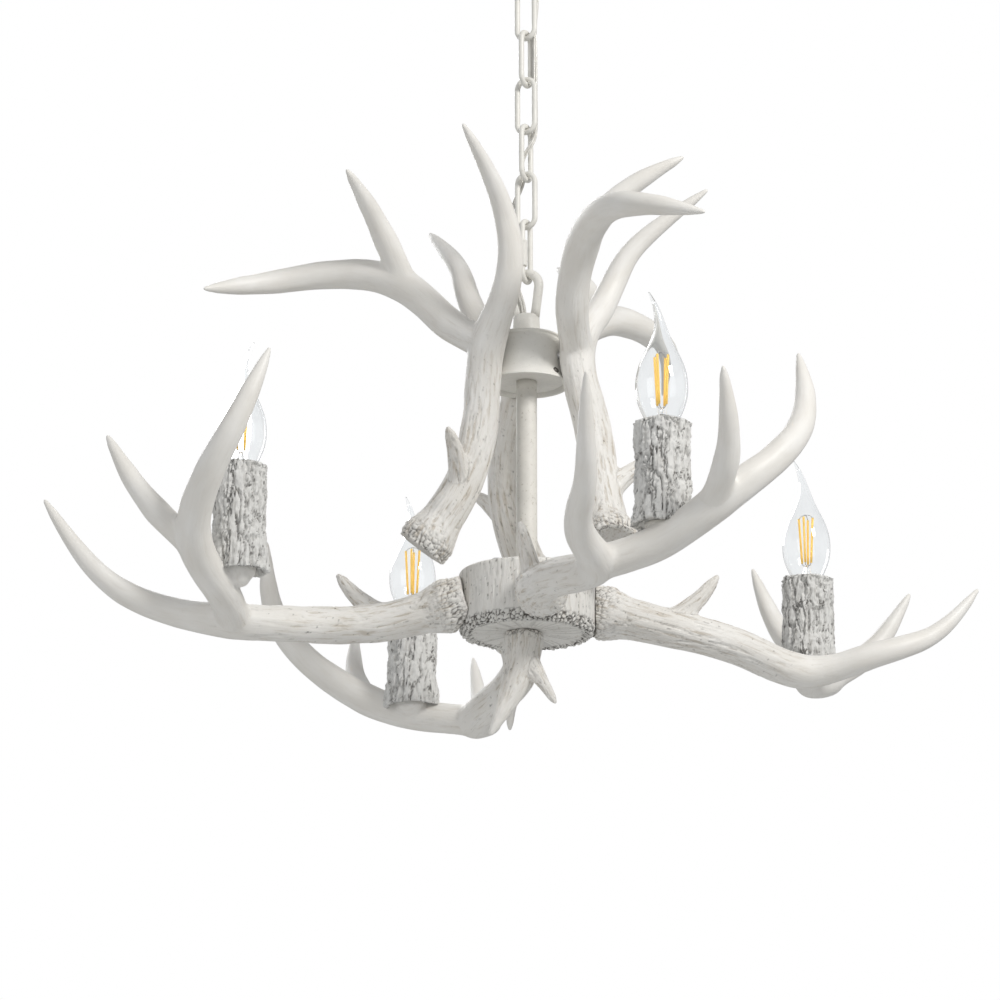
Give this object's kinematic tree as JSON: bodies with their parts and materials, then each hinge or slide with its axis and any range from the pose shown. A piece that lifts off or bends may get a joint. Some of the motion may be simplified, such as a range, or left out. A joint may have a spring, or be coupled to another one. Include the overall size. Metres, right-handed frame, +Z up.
{
  "type": "antler chandelier",
  "caption": "Ceiling chandelier of cast antlers on a round hub and a bell, with candle sleeves and flame-tip bulbs, hung from a canopy by a chain.",
  "frame": {"origin": "middle of the crossbar's two screw slots, in the plane of the ceiling", "axes": "+Z up, +X along the crossbar, -Y towards the viewer of the picture"},
  "size_m": [0.6598, 0.6774, 0.6179],
  "materials": {
    "antler_resin": "whitewashed cast resin, satin",
    "hub_resin": "whitewashed cast resin, cracked",
    "sleeve_resin": "whitewashed bark texture",
    "holder_plastic": "moulded plastic",
    "bulb_glass": "clear",
    "bulb_metal": "cap and filaments",
    "lead_plastic": "clear insulation",
    "white_metal": "off-white paint, satin",
    "zinc_steel": "zinc plated"
  },
  "bodies": {
    "ceiling": {"crossbar": "zinc_steel", "ceiling_pipe": "zinc_steel", "ceiling_nut": "zinc_steel", "canopy": "white_metal", "ceiling_eye": "white_metal", "leads_1": "lead_plastic"},
    "link_1": {"chain_link_1": "white_metal", "leads_2": "lead_plastic"},
    "link_2": {"chain_link_2": "white_metal", "leads_3": "lead_plastic"},
    "link_3": {"chain_link_3": "white_metal", "leads_4": "lead_plastic"},
    "link_4": {"chain_link_4": "white_metal", "leads_5": "lead_plastic"},
    "link_5": {"chain_link_5": "white_metal", "leads_6": "lead_plastic"},
    "quick_link": {"quick_link": "white_metal", "leads_7": "lead_plastic"},
    "quick_link_sleeve": {"quick_link_sleeve": "white_metal"},
    "bulb_left": {"bulb_left_glass": "bulb_glass", "bulb_left_core": "bulb_metal"},
    "bulb_front": {"bulb_front_glass": "bulb_glass", "bulb_front_core": "bulb_metal"},
    "bulb_right": {"bulb_right_glass": "bulb_glass", "bulb_right_core": "bulb_metal"},
    "bulb_back": {"bulb_back_glass": "bulb_glass", "bulb_back_core": "bulb_metal"},
    "chandelier": {"arm_bolts": "zinc_steel", "bell": "white_metal", "bell_base": "white_metal", "bell_screws": "zinc_steel", "candle_nipples": "zinc_steel", "candle_sleeve_back": "sleeve_resin", "candle_sleeve_front": "sleeve_resin", "candle_sleeve_left": "sleeve_resin", "candle_sleeve_right": "sleeve_resin", "centre_rod": "white_metal", "crown_antler_back": "antler_resin", "crown_antler_left": "antler_resin", "crown_antler_right": "antler_resin", "crown_bolts": "zinc_steel", "finial": "antler_resin", "finial_nut": "zinc_steel", "finial_stud": "zinc_steel", "hub": "hub_resin", "hub_plate": "zinc_steel", "lampholder_back": "holder_plastic", "lampholder_front": "holder_plastic", "lampholder_left": "holder_plastic", "lampholder_right": "holder_plastic", "leads_8": "lead_plastic", "loop": "white_metal", "plate_screws": "zinc_steel", "ring_antler_back": "antler_resin", "ring_antler_front": "antler_resin", "ring_antler_left": "antler_resin", "ring_antler_right": "antler_resin", "tie_nut": "zinc_steel", "tie_pipe": "zinc_steel"}
  },
  "joints": [
    {"name": "link_1_swing", "type": "hinge", "parent": "ceiling", "child": "link_1", "pos_m": [0, 0, -0.059], "axis": [0.4695, 0.8829, 0], "range_deg": [-8, 8], "deforming": ["leads_1", "leads_2"]},
    {"name": "link_2_swing", "type": "hinge", "parent": "link_1", "child": "link_2", "pos_m": [0, 0, -0.0952], "axis": [0.8829, -0.4695, 0], "range_deg": [-8, 8], "deforming": ["leads_2", "leads_3"]},
    {"name": "link_3_swing", "type": "hinge", "parent": "link_2", "child": "link_3", "pos_m": [0, 0, -0.1319], "axis": [0.4695, 0.8829, 0], "range_deg": [-8, 8], "deforming": ["leads_3", "leads_4"]},
    {"name": "link_4_swing", "type": "hinge", "parent": "link_3", "child": "link_4", "pos_m": [0, 0, -0.1686], "axis": [0.8829, -0.4695, 0], "range_deg": [-8, 8], "deforming": ["leads_4", "leads_5"]},
    {"name": "link_5_swing", "type": "hinge", "parent": "link_4", "child": "link_5", "pos_m": [0, 0, -0.2053], "axis": [0.4695, 0.8829, 0], "range_deg": [-8, 8], "deforming": ["leads_5", "leads_6"]},
    {"name": "quick_link_swing", "type": "hinge", "parent": "link_5", "child": "quick_link", "pos_m": [0, 0, -0.242], "axis": [0.8829, -0.4695, 0], "range_deg": [-8, 8], "deforming": ["leads_6", "leads_7"]},
    {"name": "chandelier_swing", "type": "hinge", "parent": "quick_link", "child": "chandelier", "pos_m": [0, 0, -0.2833], "axis": [0.4695, 0.8829, 0], "range_deg": [-8, 8], "deforming": ["leads_7", "leads_8"]},
    {"name": "quick_link_sleeve_screw", "type": "slide", "parent": "quick_link", "child": "quick_link_sleeve", "axis": [0, 0, 1], "range_m": [0, 0.0085]},
    {"name": "bulb_left_turn", "type": "hinge", "parent": "chandelier", "child": "bulb_left", "pos_m": [-0.19615, -0.09046, -0.45001], "axis": [0, 0, 1], "range_deg": [0, 330]},
    {"name": "bulb_front_turn", "type": "hinge", "parent": "chandelier", "child": "bulb_front", "pos_m": [0.08741, -0.20367, -0.45451], "axis": [0, 0, 1], "range_deg": [0, 330]},
    {"name": "bulb_right_turn", "type": "hinge", "parent": "chandelier", "child": "bulb_right", "pos_m": [0.2037, 0.09239, -0.48004], "axis": [0, 0, 1], "range_deg": [0, 330]},
    {"name": "bulb_back_turn", "type": "hinge", "parent": "chandelier", "child": "bulb_back", "pos_m": [-0.0849, 0.20417, -0.47301], "axis": [0, 0, 1], "range_deg": [0, 330]}
  ]
}
